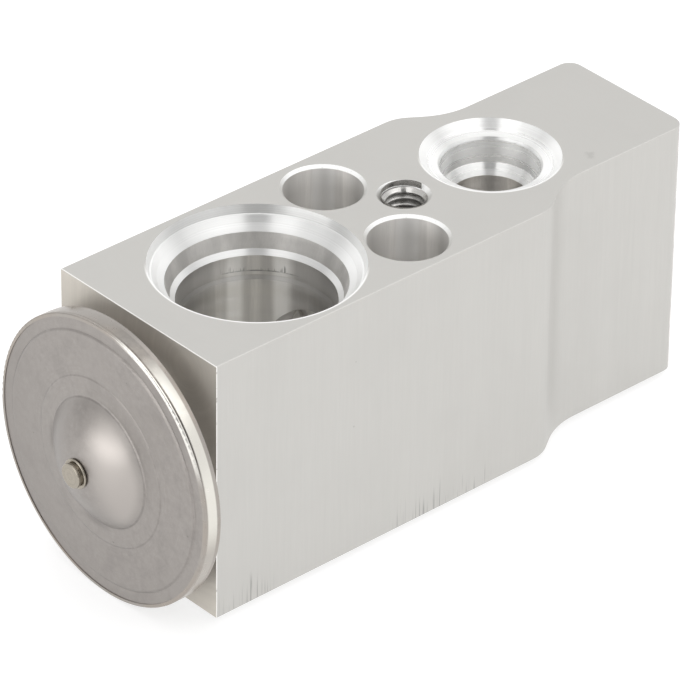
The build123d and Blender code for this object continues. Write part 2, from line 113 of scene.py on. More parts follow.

# Sectors of the rim for its painted highlights and shade, in the same axes: direction, and how far along that
# it starts and is full
RIM_LIT_SIDE = ((-0.766, -0.643, 0.0), 16.4, 18.6)
RIM_SHADE_BAND = ((-0.93, -0.37, 0.0), 18.6, 19.7)
RIM_CROWN_HIGHLIGHT = ((-0.47, -0.883, 0.0), 14.6, 18.0)
RIM_LOW_HIGHLIGHT = ((0.34, -0.94, 0.0), 11.3, 17.0)

# Level directions from the valve towards the camera and to the camera's left
CAMERA_SIDE = (-0.671, -0.742, 0.0)
CAMERA_LEFT = (-0.742, 0.671, 0.0)

# Colours of painted highlights on the metal
GLINT_HIGHLIGHT = (0.98, 0.98, 0.97, 1.0)
CHAMFER_HIGHLIGHT = (0.96, 0.96, 0.95, 1.0)
STRIPE_HIGHLIGHT = (0.97, 0.96, 0.94, 1.0)
BURR_HIGHLIGHT = (0.98, 0.97, 0.95, 1.0)
LIP_HIGHLIGHT = (0.86, 0.84, 0.79, 1.0)
CROWN_HIGHLIGHT = (0.8, 0.78, 0.72, 1.0)

# The light tent, in degrees from the camera's bearing: how far round the soft boxes reach on the left and on
# the right, the edge of the dark gap between them, and the middle of the window
BOX_REACH = (54.0, 100.0)
GAP_EDGE = (16.0, 19.0)
WINDOW_BEARING = -52.0


class ValveStageSettings(PropertyGroup):
    """Camera, floor and lights."""

    camera_azimuth: FloatProperty(
        name="Camera azimuth", default=math.radians(42.132), subtype="ANGLE",
        description="Direction the camera looks in, turned from +Y towards +X",
    )
    camera_elevation: FloatProperty(
        name="Camera elevation", default=math.radians(32.911), subtype="ANGLE",
        description="How far the camera looks down",
    )
    camera_roll: FloatProperty(
        name="Camera roll", default=math.radians(0.758), subtype="ANGLE",
        description="Turn of the camera about its own line of sight",
    )
    camera_distance: FloatProperty(
        name="Camera distance", default=0.79245, unit="LENGTH",
        description="From the camera to the point it aims at",
    )
    camera_aim: FloatVectorProperty(
        name="Camera aim", default=(-0.00407, 0.00001, 0.02021), subtype="TRANSLATION", unit="LENGTH",
        description="Point in the middle of the picture",
    )
    camera_lens: FloatProperty(
        name="Lens", default=324.65,
        description="Focal length on a 36 mm sensor, in millimetres",
    )
    floor_colour: FloatVectorProperty(
        name="Floor colour", default=(0.35, 0.35, 0.35), subtype="COLOR",
        description="Colour of the pale floor",
    )
    floor_glow: FloatProperty(
        name="Floor glow", default=0.72,
        description="Light that the floor gives by itself, as a light table does",
    )
    floor_size: FloatProperty(
        name="Floor size", default=12.0, unit="LENGTH",
        description="Side of the square floor",
    )
    left_level: FloatProperty(
        name="Left wall", default=0.8,
        description="Brightness of the tent low on the left",
    )
    front_level: FloatProperty(
        name="Room behind the camera", default=0.45,
        description="Brightness of the room low behind the camera",
    )
    window_level: FloatProperty(
        name="Window", default=3.0,
        description="Brightness of the window low on the camera's left",
    )
    right_level: FloatProperty(
        name="Right wall", default=1.05,
        description="Brightness of the tent low on the right",
    )
    back_level: FloatProperty(
        name="Backdrop", default=1.08,
        description="Brightness of the backdrop behind the valve",
    )
    roof_level: FloatProperty(
        name="Roof", default=0.9,
        description="Brightness of the tent overhead",
    )
    left_box_level: FloatProperty(
        name="Left soft box", default=1.7,
        description="Brightness of the soft box above the camera's left side",
    )
    right_box_level: FloatProperty(
        name="Right soft box", default=1.7,
        description="Brightness of the soft box above the camera's right side",
    )
    gap_level: FloatProperty(
        name="Gap", default=0.12,
        description="Brightness of the dark gap between the soft boxes",
    )
    top_power: FloatProperty(
        name="Top light power", default=4.0, unit="POWER",
        description="Power of the large soft light overhead",
    )


class ValveFinishSettings(PropertyGroup):
    """Colours of the finishes."""

    aluminium_colour: FloatVectorProperty(
        name="Aluminium", default=(0.583, 0.573, 0.55), subtype="COLOR",
        description="Satin extruded aluminium of the block",
    )
    turned_colour: FloatVectorProperty(
        name="Turned aluminium", default=(0.85, 0.85, 0.84), subtype="COLOR",
        description="Freshly turned aluminium of the ports",
    )
    bore_colour: FloatVectorProperty(
        name="Drilled aluminium", default=(0.82, 0.80, 0.77), subtype="COLOR",
        description="Drilled walls of the bores and wells",
    )
    cover_colour: FloatVectorProperty(
        name="Stainless sheet", default=(0.358, 0.333, 0.314), subtype="COLOR",
        description="Pressed stainless covers of the head",
    )
    weld_colour: FloatVectorProperty(
        name="Weld", default=(0.37, 0.345, 0.32), subtype="COLOR",
        description="Bright bead round the rim of the head",
    )
    plug_colour: FloatVectorProperty(
        name="Nickel", default=(0.39, 0.355, 0.3), subtype="COLOR",
        description="Plated charge plug",
    )
    steel_colour: FloatVectorProperty(
        name="Steel", default=(0.60, 0.59, 0.57), subtype="COLOR",
        description="Turned, ground and sprung steel inside the valve",
    )
    brass_colour: FloatVectorProperty(
        name="Brass", default=(0.78, 0.58, 0.28), subtype="COLOR",
        description="Adjusting screw",
    )
    rubber_colour: FloatVectorProperty(
        name="Rubber", default=(0.02, 0.035, 0.025), subtype="COLOR",
        description="Seal rings",
    )
    plastic_colour: FloatVectorProperty(
        name="Sleeve plastic", default=(0.80, 0.78, 0.70), subtype="COLOR",
        description="Sleeve on the sensing rod",
    )


class ValveThreadSettings(PropertyGroup):
    """Thread in the tapped hole."""

    pitch: FloatProperty(
        name="Pitch", default=0.001, unit="LENGTH",
        description="From one crest to the next",
    )
    root_radius: FloatProperty(
        name="Root radius", default=0.003, unit="LENGTH",
        description="Radius of the tapped hole's wall",
    )
    crest_radius: FloatProperty(
        name="Crest radius", default=0.00246, unit="LENGTH",
        description="Radius that the ridge reaches inwards",
    )
    depth: FloatProperty(
        name="Thread depth", default=0.0118, unit="LENGTH",
        description="Depth of the last turn below the face",
    )
    steps: IntProperty(name="Steps", description="Facets in one turn", default=72, min=12)


# Node helpers


def fill(tree, node, inputs):
    """Fills a node's inputs by values or by other nodes' sockets."""
    for key, value in inputs.items():
        if isinstance(value, bpy.types.NodeSocket):
            tree.links.new(value, node.inputs[key])
        else:
            node.inputs[key].default_value = value


def add(tree, kind, inputs=None, **settings):
    """A new node with its settings made and its inputs filled."""
    made = tree.nodes.new(kind)
    for key, value in settings.items():
        setattr(made, key, value)
    fill(tree, made, inputs or {})
    return made


def math_node(tree, operation, a, b=0.0, clamp=False):
    return add(tree, "ShaderNodeMath", {0: a, 1: b}, operation=operation, use_clamp=clamp).outputs[0]


def vector_math(tree, operation, first, second=None):
    """The vector that an operation gives, or its value where it measures something."""
    inputs = {0: first} if second is None else {0: first, 1: second}
    made = add(tree, "ShaderNodeVectorMath", inputs, operation=operation)
    measures = operation in ("DOT_PRODUCT", "LENGTH", "DISTANCE")
    return made.outputs["Value" if measures else "Vector"]


def remap(tree, value, low, high, to_low=0.0, to_high=1.0, smooth=False):
    kind = "SMOOTHSTEP" if smooth else "LINEAR"
    sockets = {"Value": value, "From Min": low, "From Max": high, "To Min": to_low, "To Max": to_high}
    return add(tree, "ShaderNodeMapRange", sockets, interpolation_type=kind, clamp=True).outputs["Result"]


def blend_colour(tree, factor, first, second):
    return add(tree, "ShaderNodeMix", {0: factor, 6: first, 7: second}, data_type="RGBA").outputs[2]


def blend_value(tree, factor, first, second):
    return add(tree, "ShaderNodeMix", {0: factor, 2: first, 3: second}, data_type="FLOAT").outputs[0]


def product(tree, *factors):
    """All the factors multiplied together."""
    result = factors[0]
    for factor in factors[1:]:
        result = math_node(tree, "MULTIPLY", result, factor)
    return result


def window(tree, value, low, high, edge):
    """1 between low and high, falling to 0 over the edge outside them."""
    rising = remap(tree, value, low - edge, low, smooth=True)
    return math_node(tree, "MULTIPLY", rising, remap(tree, value, high + edge, high, smooth=True))


def noise(tree, vector, scale, detail=2.0, roughness=0.5):
    sockets = {"Vector": vector, "Scale": scale, "Detail": detail, "Roughness": roughness}
    return add(tree, "ShaderNodeTexNoise", sockets).outputs[0]


def stretched(tree, vector, scale):
    return add(tree, "ShaderNodeMapping", {"Vector": vector, "Scale": scale}).outputs[0]


def level(tree, vector):
    """A vector without its Z part."""
    return stretched(tree, vector, (1.0, 1.0, 0.0))


def rgba(colour, shade=1.0):
    return (colour[0] * shade, colour[1] * shade, colour[2] * shade, 1.0)


def new_group(name, inputs, outputs):
    """A shader node group that takes a vector and some values, given with their defaults, and gives values."""
    group = bpy.data.node_groups.new(name, "ShaderNodeTree")
    group.interface.new_socket("Vector", in_out="INPUT", socket_type="NodeSocketVector")
    for label, default in inputs.items():
        socket = group.interface.new_socket(label, in_out="INPUT", socket_type="NodeSocketFloat")
        socket.default_value = default
    for label in outputs:
        group.interface.new_socket(label, in_out="OUTPUT", socket_type="NodeSocketFloat")
    return group, group.nodes.new("NodeGroupInput"), group.nodes.new("NodeGroupOutput")


# Effects that several finishes share. All take places in millimetres.


def turning_marks():
    """Fine rings about the local Z axis, as a lathe tool leaves, and broader bands of them."""
    group, given, out = new_group("turning_marks", {"Fineness": 9.0, "Wobble": 0.02}, ("Lines", "Bands"))
    axes = add(group, "ShaderNodeSeparateXYZ", {0: given.outputs["Vector"]})
    flat = add(group, "ShaderNodeCombineXYZ", {0: axes.outputs[0], 1: axes.outputs[1], 2: 0.0})
    radius = vector_math(group, "LENGTH", flat.outputs[0])
    drift = math_node(group, "MULTIPLY", noise(group, given.outputs["Vector"], 0.35), given.outputs["Wobble"])
    wavy = math_node(group, "ADD", radius, drift)
    ring = add(group, "ShaderNodeCombineXYZ", {0: wavy, 1: 0.0, 2: axes.outputs[2]})
    fine = noise(group, ring.outputs[0], given.outputs["Fineness"], 3.0, 0.7)
    broad = noise(group, ring.outputs[0], math_node(group, "MULTIPLY", given.outputs["Fineness"], 0.12), 1.0)
    group.links.new(remap(group, fine, 0.3, 0.7), out.inputs["Lines"])
    group.links.new(remap(group, broad, 0.35, 0.65, smooth=True), out.inputs["Bands"])
    return group


def drawn_lines():
    """Fine straight lines along the local Z axis, as an extrusion die or a drill leaves."""
    group, given, out = new_group("drawn_lines", {"Fineness": 3.0, "Length": 0.03}, ("Lines", "Bands"))
    axes = add(group, "ShaderNodeSeparateXYZ", {0: given.outputs["Vector"]})
    along = math_node(group, "MULTIPLY", axes.outputs[2], given.outputs["Length"])
    drawn = add(group, "ShaderNodeCombineXYZ", {0: axes.outputs[0], 1: axes.outputs[1], 2: along})
    fine = noise(group, drawn.outputs[0], given.outputs["Fineness"], 4.0, 0.75)
    broad = noise(group, drawn.outputs[0], math_node(group, "MULTIPLY", given.outputs["Fineness"], 0.1), 2.0)
    group.links.new(remap(group, fine, 0.3, 0.7), out.inputs["Lines"])
    group.links.new(remap(group, broad, 0.35, 0.65, smooth=True), out.inputs["Bands"])
    return group


def pits_and_specks():
    """Sparse small pits: 1 in a pit and 0 elsewhere."""
    group, given, out = new_group("pits_and_specks", {"Spacing": 1.6, "Size": 0.12}, ("Mask",))
    scale = math_node(group, "DIVIDE", 1.0, given.outputs["Spacing"])
    cell = add(group, "ShaderNodeTexVoronoi", {"Vector": given.outputs["Vector"], "Scale": scale})
    lot = add(group, "ShaderNodeSeparateColor", {0: cell.outputs["Color"]}).outputs[0]
    chosen = math_node(group, "GREATER_THAN", lot, 0.72)
    reach = math_node(group, "MULTIPLY", given.outputs["Size"], scale)
    core = math_node(group, "MULTIPLY", reach, 0.5)
    spot = remap(group, cell.outputs["Distance"], core, reach, 1.0, 0.0, smooth=True)
    group.links.new(math_node(group, "MULTIPLY", spot, chosen), out.inputs["Mask"])
    return group


def handling_stains():
    """Soft patches where the metal is a little duller."""
    group, given, out = new_group("handling_stains", {"Size": 12.0}, ("Mask", "Grain"))
    scale = math_node(group, "DIVIDE", 1.0, given.outputs["Size"])
    patch = noise(group, given.outputs["Vector"], scale, 4.0, 0.6)
    grain = noise(group, given.outputs["Vector"], 6.0, 3.0, 0.7)
    group.links.new(remap(group, patch, 0.42, 0.68, smooth=True), out.inputs["Mask"])
    group.links.new(remap(group, grain, 0.3, 0.7), out.inputs["Grain"])
    return group


GROUPS = {}


def effect(tree, maker, inputs):
    """Places a shared effect in a material, and builds it the first time."""
    if maker.__name__ not in GROUPS:
        GROUPS[maker.__name__] = maker()
    made = tree.nodes.new("ShaderNodeGroup")
    made.node_tree = GROUPS[maker.__name__]
    fill(tree, made, inputs)
    return made


ALONG_X = (0.0, math.radians(-90.0), 0.0)
ALONG_Z = (0.0, 0.0, 0.0)


def start_material(name, place=(0.0, 0.0, 0.0), turn=ALONG_Z):
    """A material whose pattern is measured in millimetres from a place, about its Z or the valve's X axis."""
    material = bpy.data.materials.new(name)
    material.use_nodes = True
    tree = material.node_tree
    tree.nodes.clear()
    coordinates = add(tree, "ShaderNodeTexCoord").outputs["Object"]
    if turn == ALONG_X:
        shift = (place[2], -place[1], -place[0])
    else:
        shift = (-place[0], -place[1], -place[2])
    centred = add(
        tree,
        "ShaderNodeMapping",
        {"Vector": coordinates, "Location": shift, "Rotation": turn, "Scale": (1 / MM, 1 / MM, 1 / MM)},
    ).outputs[0]
    return material, tree, centred


def finish_material(
    material, tree, colour, roughness, height=None, depth=0.01, metallic=1.0, tangent=None, **constants
):
    """The shader itself; height is a value in 0..1 and depth how deep it is in millimetres."""
    inputs = {"Metallic": metallic, "Base Color": colour, "Roughness": roughness}
    shader = add(tree, "ShaderNodeBsdfPrincipled", inputs)
    out = add(tree, "ShaderNodeOutputMaterial")
    for socket, value in constants.items():
        shader.inputs[socket.replace("_", " ")].default_value = value
    if height is not None:
        bump = add(tree, "ShaderNodeBump", {"Height": height, "Distance": depth * MM, "Strength": 1.0})
        tree.links.new(bump.outputs[0], shader.inputs["Normal"])
    if tangent is not None:
        tree.links.new(tangent, shader.inputs["Tangent"])
    tree.links.new(shader.outputs[0], out.inputs[0])
    return material


def across_rings(tree, place, turn):
    """Direction across the tool's rings on a turned surface, which its gloss spreads along."""
    spot = add(tree, "ShaderNodeTexCoord").outputs["Object"]
    arm = vector_math(tree, "SUBTRACT", spot, [value * MM for value in place])
    axis = (1.0, 0.0, 0.0) if turn == ALONG_X else (0.0, 0.0, 1.0)
    ring = vector_math(tree, "CROSS_PRODUCT", axis, arm)
    normal = add(tree, "ShaderNodeNewGeometry").outputs["Normal"]
    across = vector_math(tree, "CROSS_PRODUCT", normal, ring)
    return vector_math(tree, "NORMALIZE", across)


def facing_camera(tree, centred, low, high):
    """1 on the side of an upright hole that the camera looks at, falling to 0 round it."""
    across = vector_math(tree, "NORMALIZE", level(tree, centred))
    away = vector_math(tree, "DOT_PRODUCT", across, CAMERA_SIDE)
    return remap(tree, away, -low, -high, smooth=True)


def turned(
    name, colour, place, turn, rough=0.24, spread=0.08, depth=0.003, fineness=9.0,
    dark=0.85, metallic=1.0, painted_glint=0.0,
):
    """Metal turned on a lathe or by a form tool: fine rings, and bands that differ a little in gloss.

    Painted glint is how far an upright hole is painted with highlights on the camera's left and right.
    """
    material, tree, centred = start_material(name, place, turn)
    rings = effect(tree, turning_marks, {"Vector": centred, "Fineness": fineness})
    grey = blend_colour(tree, rings.outputs["Lines"], rgba(colour, dark), rgba(colour))
    # Painted highlights on the hole's left and right sides, as seen from the camera
    if painted_glint:
        outwards = vector_math(tree, "NORMALIZE", level(tree, centred))
        side = math_node(tree, "ABSOLUTE", vector_math(tree, "DOT_PRODUCT", outwards, CAMERA_LEFT))
        grey = blend_colour(tree, remap(tree, side, 0.75, 0.97, 0.0, painted_glint, smooth=True), grey, GLINT_HIGHLIGHT)
    gloss = remap(tree, rings.outputs["Bands"], 0.0, 1.0, rough - spread / 2, rough + spread / 2)
    tangent = across_rings(tree, place, turn)
    return finish_material(
        material, tree, grey, gloss, rings.outputs["Lines"], depth, metallic, tangent, Anisotropic=0.96
    )


def drilled(
    name, colour, place, turn, rough=0.46, depth=0.006, dark=0.8, metallic=1.0,
    painted_flank_shade=1.0, highlight_stripe=(0.985, 1.01), ticked=False,
):
    """Metal left by a drill: faint rings and broad streaks along the hole.

    Painted flank shade is how dark a hole's sides are painted. Highlight stripe is where its painted highlight
    starts and ends, with 1 at the middle of the side that the camera looks at. A ticked bore has the tool's
    marks on that side.
    """
    material, tree, centred = start_material(name, place, turn)
    rings = effect(tree, turning_marks, {"Vector": centred, "Fineness": 5.0, "Wobble": 0.4})
    streaks = effect(tree, drawn_lines, {"Vector": centred, "Fineness": 4.0, "Length": 0.05})
    grey = blend_colour(tree, streaks.outputs["Bands"], rgba(colour, dark), rgba(colour))
    grey = blend_colour(tree, product(tree, streaks.outputs["Lines"], 0.3), grey, rgba(colour, dark * 0.8))
    # Painted shade on the sides of the hole, and a painted highlight stripe on the side that the camera looks
    # at
    if painted_flank_shade < 1.0:
        grey = blend_colour(tree, facing_camera(tree, centred, 0.5, 0.9), rgba(colour, painted_flank_shade), grey)
        start, end = highlight_stripe
        line = product(tree, facing_camera(tree, centred, start - 0.04, start), 0.7)
        short_of = remap(tree, facing_camera(tree, centred, end, end + 0.02), 0.0, 1.0, 1.0, 0.0)
        line = product(tree, line, short_of)
        grey = blend_colour(tree, line, grey, STRIPE_HIGHLIGHT)
    if ticked:
        grey = tool_ticks(tree, centred, grey, colour)
    gloss = remap(tree, rings.outputs["Bands"], 0.0, 1.0, rough - 0.06, rough + 0.08)
    height = math_node(tree, "ADD", rings.outputs["Lines"], streaks.outputs["Lines"])
    tangent = across_rings(tree, place, turn)
    return finish_material(material, tree, grey, gloss, height, depth, metallic, tangent, Anisotropic=0.9)


def tool_ticks(tree, centred, grey, colour):
    """Dark upright tool ticks over a broken line round the suction bore, and painted shade on the taper below
    them.
    """
    along = add(tree, "ShaderNodeSeparateXYZ", {0: centred}).outputs[2]
    around = level(tree, centred)
    low, high = TICKS
    ticks = remap(tree, noise(tree, around, 3.2, 2.0, 0.6), 0.48, 0.62)
    rise = math_node(tree, "SUBTRACT", along, product(tree, noise(tree, around, 1.3, 2.0), 3.0))
    uneven = remap(tree, rise, high - 1.6, high - 2.1)
    standing = product(tree, ticks, uneven, remap(tree, along, low, low + 0.08))
    broken = remap(tree, noise(tree, around, 0.7, 3.0), 0.4, 0.6)
    line = product(tree, window(tree, along, low, low + 0.1, 0.08), broken)
    band = product(tree, math_node(tree, "MAXIMUM", standing, line), facing_camera(tree, centred, 0.84, 0.95))
    grey = blend_colour(tree, product(tree, band, 0.75), grey, rgba(colour, 0.25))
    # Painted shade on the taper below the ticks
    taper_shade = window(tree, along, TAPER_SHADE[0], TAPER_SHADE[1], 0.03)
    return blend_colour(tree, product(tree, taper_shade, 0.5), grey, rgba(colour, 0.45))


def chamfer_with_highlight(name, colour, place):
    """Chamfer of a hole in the port face, with a painted highlight on the side that the camera looks at."""
    material, tree, centred = start_material(name, place)
    painted_glint = facing_camera(tree, centred, -0.1, 0.75)
    grain = noise(tree, centred, 3.0, 3.0, 0.7)
    shade = blend_colour(tree, painted_glint, rgba(colour, 0.95), CHAMFER_HIGHLIGHT)
    shade = blend_colour(tree, remap(tree, grain, 0.55, 0.75, 0.0, 0.4), shade, rgba(colour, 0.8))
    return finish_material(material, tree, shade, 0.5, grain, 0.01, 0.35)


# The block's surfaces


def block_sides(colours):
    """Extruded flanks: fine lines down the height, pits, drag marks at the lower edge and a burr painted as a
    highlight.
    """
    colour = colours.aluminium_colour
    material, tree, centred = start_material("block_extruded_sides")
    axes = add(tree, "ShaderNodeSeparateXYZ", {0: centred})
    along, up = axes.outputs[0], axes.outputs[2]
    lines = effect(tree, drawn_lines, {"Vector": centred, "Fineness": 2.6, "Length": 0.03})
    stains = effect(tree, handling_stains, {"Vector": centred, "Size": 16.0})
    tall = stretched(tree, centred, (1.0, 1.0, 0.6))
    pits = effect(tree, pits_and_specks, {"Vector": tall, "Spacing": 3.6, "Size": 0.15})
    scores = remap(tree, noise(tree, stretched(tree, centred, (2.8, 2.8, 0.05)), 1.0, 2.0, 0.6), 0.53, 0.62)
    lengths = noise(tree, stretched(tree, centred, (1.3, 1.3, 0.0)), 1.0, 1.0)
    low = remap(tree, math_node(tree, "SUBTRACT", up, product(tree, lengths, 9.0)), -1.0, -4.0, smooth=True)
    first, second = (window(tree, along, *stretch) for stretch in DRAGGED)
    places = math_node(tree, "ADD", first, second, clamp=True)
    drag = product(tree, scores, low, places)
    # The burr on the head-side edge is painted as a bright highlight line, broken by nicks
    burr_highlight = remap(tree, along, HEAD_FACE + 0.2, HEAD_FACE + 0.06)
    nicks = remap(tree, noise(tree, stretched(tree, centred, (0.0, 0.0, 0.8)), 1.0, 3.0, 0.7), 0.60, 0.54)
    shade = blend_colour(tree, lines.outputs["Lines"], rgba(colour, 0.975), rgba(colour, 1.015))
    shade = blend_colour(tree, product(tree, stains.outputs["Mask"], 0.4), shade, rgba(colour, 0.95))
    shade = blend_colour(tree, product(tree, pits.outputs["Mask"], 0.5), shade, rgba(colour, 0.35))
    shade = blend_colour(tree, product(tree, drag, 0.6), shade, rgba(colour, 0.4))
    shade = blend_colour(tree, product(tree, burr_highlight, nicks), shade, BURR_HIGHLIGHT)
    gloss = remap(tree, lines.outputs["Bands"], 0.0, 1.0, 0.465, 0.485)
    height = math_node(tree, "SUBTRACT", lines.outputs["Lines"], product(tree, pits.outputs["Mask"], 4.0))
    return finish_material(material, tree, shade, gloss, height, 0.0008)


def block_faces(colours):
    """Milled port faces: soft grain, faint tool sweeps, a smudge, and painted highlights on port rims near the
    camera.
    """
    colour = colours.aluminium_colour
    material, tree, centred = start_material("block_milled_faces")
    sweeps = effect(tree, turning_marks, {"Vector": level(tree, centred), "Fineness": 1.6, "Wobble": 2.0})
    stains = effect(tree, handling_stains, {"Vector": centred, "Size": 9.0})
    pits = effect(tree, pits_and_specks, {"Vector": centred, "Spacing": 6.5, "Size": 0.14})
    from_smudge = vector_math(tree, "DISTANCE", centred, SMUDGE)
    ragged = math_node(tree, "ADD", from_smudge, product(tree, noise(tree, centred, 0.9, 3.0, 0.7), 2.4))
    smudge = remap(tree, ragged, 2.2, 1.3, smooth=True)
    shade = blend_colour(tree, stains.outputs["Grain"], rgba(colour, 0.955), rgba(colour, 1.0))
    shade = blend_colour(tree, product(tree, sweeps.outputs["Lines"], 0.2), shade, rgba(colour, 0.93))
    shade = blend_colour(tree, product(tree, stains.outputs["Mask"], 0.3), shade, rgba(colour, 0.93))
    shade = blend_colour(tree, product(tree, pits.outputs["Mask"], 0.4), shade, rgba(colour, 0.4))
    shade = blend_colour(tree, product(tree, smudge, 0.3), shade, rgba(colour, 0.6))
    # Painted highlights on the port rims, on the side near the camera
    for place, radius in ((SUCTION_X, SUCTION_RIM), (INLET_X, INLET_RIM)):
        arm = vector_math(tree, "SUBTRACT", centred, (place, 0.0, BLOCK_TOP))
        reach = vector_math(tree, "LENGTH", arm)
        nearby = vector_math(tree, "DOT_PRODUCT", arm, CAMERA_SIDE)
        edge = remap(tree, reach, radius + 0.3, radius + 0.12)
        rim = product(tree, edge, remap(tree, nearby, 0.0, 4.0, smooth=True), 0.9)
        shade = blend_colour(tree, rim, shade, GLINT_HIGHLIGHT)
    gloss = remap(tree, stains.outputs["Grain"], 0.0, 1.0, 0.44, 0.52)
    height = math_node(tree, "ADD", sweeps.outputs["Lines"], stains.outputs["Grain"])
    return finish_material(material, tree, shade, gloss, height, 0.001)


def block_end(colours):
    """Milled end faces: browner, lighter as painted light in the head's shade, and with arcs left by a face
    mill.
    """
    colour = colours.aluminium_colour
    material, tree, centred = start_material("block_milled_end", (HEAD_FACE, -9.0, AXIS_Z + 16.0), ALONG_X)
    arcs = effect(tree, turning_marks, {"Vector": level(tree, centred), "Fineness": 0.9, "Wobble": 0.3})
    stains = effect(tree, handling_stains, {"Vector": centred, "Size": 10.0})
    # A lighter, browner copy of the aluminium, which paints light into the shade behind the head
    warm = (colour[0] * 1.12, colour[1] * 1.07, colour[2] * 1.0)
    shade = blend_colour(tree, arcs.outputs["Lines"], rgba(warm, 0.86), rgba(warm, 0.98))
    shade = blend_colour(tree, product(tree, stains.outputs["Mask"], 0.5), shade, rgba(warm, 0.82))
    gloss = remap(tree, stains.outputs["Grain"], 0.0, 1.0, 0.4, 0.5)
    return finish_material(material, tree, shade, gloss, arcs.outputs["Lines"], 0.004, metallic=0.5)


def region_of(face):
    """Which surface of the block a face belongs to, by its middle and its normal."""
    x, y, z = (value / MM for value in face.center)
    along, up = abs(face.normal.x), abs(face.normal.z)
    depth = min(z, BLOCK_TOP - z)
    upper = z > AXIS_Z
    from_well = math.hypot(x, abs(y) - WELL_Y)
    from_tapped = math.hypot(x - TAPPED_X, y)
    from_suction = math.hypot(x - SUCTION_X, y)
    if depth < FACE_SKIN and up > FLAT:
        return "faces"
    if along > FLAT and (x < HEAD_FACE + END_SKIN or x > TAIL_FACE - END_SKIN):
        return "end"
    if depth < CHAMFER_DEPTH and SLOPE < up < FLAT:
        if from_well < WELL_REACH:
            return "left_rim" if y > 0 else "right_rim"
        if from_tapped < TAPPED_REACH:
            return "tapped_rim"
    if from_suction < SUCTION_REACH:
        if SUCTION_SOCKET[0] < depth < SUCTION_SOCKET[1]:
            return "suction_socket"
        if depth < SUCTION_PORT_DEPTH and from_suction > SUCTION_PORT_INSIDE:
            return "suction_port"
        if from_suction < SUCTION_BORE[1] and up < UPRIGHT:
            on_wall = from_suction > SUCTION_BORE[0] and y != 0
            return "suction_bore" if on_wall else "inner"
    for place, side, name in ((INLET_X, True, "inlet"), (OUTLET_X, False, "outlet")):
        if upper == side and math.hypot(x - place, y) < LIQUID_REACH:
            if depth < LIQUID_PORT_DEPTH:
                return name + "_port"
            if depth < LIQUID_BORE_DEPTH:
                return name + "_bore"
    if from_well < WELL_REACH:
        return "left_well" if y > 0 else "right_well"
    if upper and from_tapped < TAPPED_REACH:
        return "tapped"
    if math.hypot(y, z - AXIS_Z) < AXIS_REACH and (abs(y) < AXIS_HALF_WIDTH or x < HEAD_SOCKET_END):
        return "inner"
    return "sides"


class OBJECT_OT_valve_block_finish(Operator):
    """Gives each surface of the block its own finish"""

    bl_idname = "object.valve_block_finish"
    bl_label = "Block finish"

    def execute(self, context):
        colours = context.scene.valve_finish
        bright = colours.turned_colour
        bore = colours.bore_colour
        satin = [value * 0.88 for value in bright]
        socket = [value * 0.8 for value in bore]
        # The wells' colour is a lighter copy of the drilled colour, which paints light into them
        well = [value * 1.17 for value in bore]
        thread = [value * 0.6 for value in bore]
        suction, inlet, outlet = (SUCTION_X, 0, 0), (INLET_X, 0, 0), (OUTLET_X, 0, 0)
        left, right, tapped = (0, WELL_Y, 0), (0, -WELL_Y, 0), (TAPPED_X, 0, 0)
        # The wells also get painted shade on their sides
        hole = {"metallic": 0.45, "painted_flank_shade": 0.6}
        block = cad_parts["valve_block"]
        finishes = {
            "sides": block_sides(colours),
            "faces": block_faces(colours),
            "end": block_end(colours),
            "left_rim": chamfer_with_highlight("left_rim_highlight", colours.aluminium_colour, left),
            "right_rim": chamfer_with_highlight("right_rim_highlight", colours.aluminium_colour, right),
            "tapped_rim": chamfer_with_highlight("tapped_rim_highlight", colours.aluminium_colour, tapped),
            "suction_socket": drilled("suction_socket_bored", socket, suction, ALONG_Z, 0.42, metallic=0.7),
            # The suction and inlet ports carry painted highlights on their left and right sides
            "suction_port": turned(
                "suction_port_turned", satin, suction, ALONG_Z, 0.33, fineness=7.0, metallic=0.65, painted_glint=0.9
            ),
            "inlet_port": turned("inlet_port_turned", bright, inlet, ALONG_Z, 0.3, metallic=0.7, painted_glint=0.9),
            "outlet_port": turned("outlet_port_turned", bright, outlet, ALONG_Z, 0.3, metallic=0.75),
            "suction_bore": drilled(
                "suction_bore_drilled", bore, suction, ALONG_Z, 0.4,
                dark=0.7, metallic=0.85, painted_flank_shade=0.6, highlight_stripe=(0.94, 0.97), ticked=True,
            ),
            "inlet_bore": drilled("inlet_bore_drilled", bore, inlet, ALONG_Z, 0.34),
            "outlet_bore": drilled("outlet_bore_drilled", bore, outlet, ALONG_Z, 0.34),
            "left_well": drilled("left_well_drilled", well, left, ALONG_Z, 0.5, **hole),
            "right_well": drilled("right_well_drilled", well, right, ALONG_Z, 0.5, **hole),
            "tapped": turned("tapped_hole_wall", thread, tapped, ALONG_Z, 0.3, 0.1, metallic=0.8),
            "inner": drilled("inner_bores_drilled", bore, (0, 0, AXIS_Z), ALONG_X, 0.5, metallic=0.4),
        }
        order = list(finishes)
        mesh = block.data
        mesh.materials.clear()
        for name in order:
            mesh.materials.append(finishes[name])
        for face in mesh.polygons:
            face.material_index = order.index(region_of(face))
        return {"FINISHED"}


# The head and the hidden pieces


